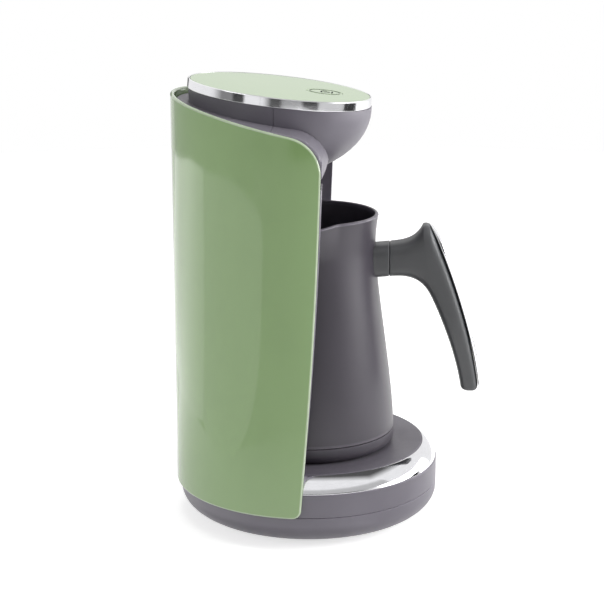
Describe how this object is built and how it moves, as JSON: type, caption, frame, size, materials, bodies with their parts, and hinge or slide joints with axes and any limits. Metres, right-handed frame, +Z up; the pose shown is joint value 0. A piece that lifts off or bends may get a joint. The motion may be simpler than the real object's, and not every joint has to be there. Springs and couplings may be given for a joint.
{
  "type": "electric turkish coffee maker",
  "caption": "Electric Turkish coffee maker with a cordless base, a curved column with a cantilevered control head, and a lift-off pot with a spout and handle.",
  "frame": {"origin": "centre of the round base, on the plane that the rubber feet stand on", "axes": "+Z up; -Y the open side, where the pot's handle points; +Y the column; the pot's spout points to -X"},
  "size_m": [0.1512, 0.1731, 0.2467],
  "materials": {
    "green_plastic": "semi-gloss sage green, moulded",
    "grey_plastic": "satin warm grey, moulded",
    "pot_plastic": "satin warm grey",
    "dark_plastic": "satin dark grey",
    "black_plastic": "gloss black",
    "white_plastic": "plain white",
    "yellow_plastic": "capacitor case",
    "blue_plastic": "terminal housing",
    "window_plastic": "dark red infrared window",
    "board": "circuit board",
    "ribbon": "flat cable jacket",
    "chrome_trim": "bright",
    "screw_steel": "zinc-plated",
    "heater_aluminium": "die-cast",
    "core_metal": "dark, uncoated",
    "contact_brass": "bright",
    "black_rubber": "matt",
    "lead_rubber": "lead sleeve"
  },
  "bodies": {
    "housing": {"base_pan": "grey_plastic", "base_shell": "grey_plastic", "base_trim_ring": "chrome_trim", "rubber_feet": "black_rubber", "base_screws": "screw_steel", "cord_gland": "black_rubber", "power_board": "board", "relay": "black_plastic", "transformer": "core_metal", "filter_capacitor": "yellow_plastic", "terminal_block": "blue_plastic", "connector_body": "black_plastic", "connector_contacts": "contact_brass", "connector_screws": "screw_steel", "connector_leads": "lead_rubber", "front_shell": "grey_plastic", "rear_shell": "grey_plastic", "cover_panel": "green_plastic", "column_screws": "screw_steel", "ribbon_cable": "ribbon", "head_ring": "chrome_trim", "control_plate": "green_plastic", "tact_switch": "black_plastic", "control_board": "board", "board_screws": "screw_steel", "control_chips": "black_plastic", "status_leds": "white_plastic", "buzzer": "black_plastic", "sensor_window": "window_plastic", "sensor_board": "board"},
    "key": {"start_key": "green_plastic", "switch_plunger": "white_plastic"},
    "pot": {"pot_vessel": "pot_plastic", "pot_base_cap": "pot_plastic", "base_seal": "black_rubber", "pot_socket": "black_plastic", "socket_contacts": "contact_brass", "heater_plate": "heater_aluminium", "heating_element": "core_metal", "temperature_sensor": "white_plastic", "thermal_cutout": "white_plastic", "element_leads": "lead_rubber", "pot_screws": "screw_steel", "handle_boss": "dark_plastic", "handle_grip": "dark_plastic", "handle_strip": "chrome_trim", "handle_screw": "screw_steel"}
  },
  "joints": [
    {"name": "pot_lift", "type": "slide", "parent": "housing", "child": "pot", "axis": [0, 0, 1], "range_m": [0, 0.02]},
    {"name": "key_press", "type": "slide", "parent": "housing", "child": "key", "axis": [0, 0.1097, -0.994], "range_m": [0, 0.0008], "stiffness_N_per_m": 2000, "springref_m": -0.00005}
  ]
}
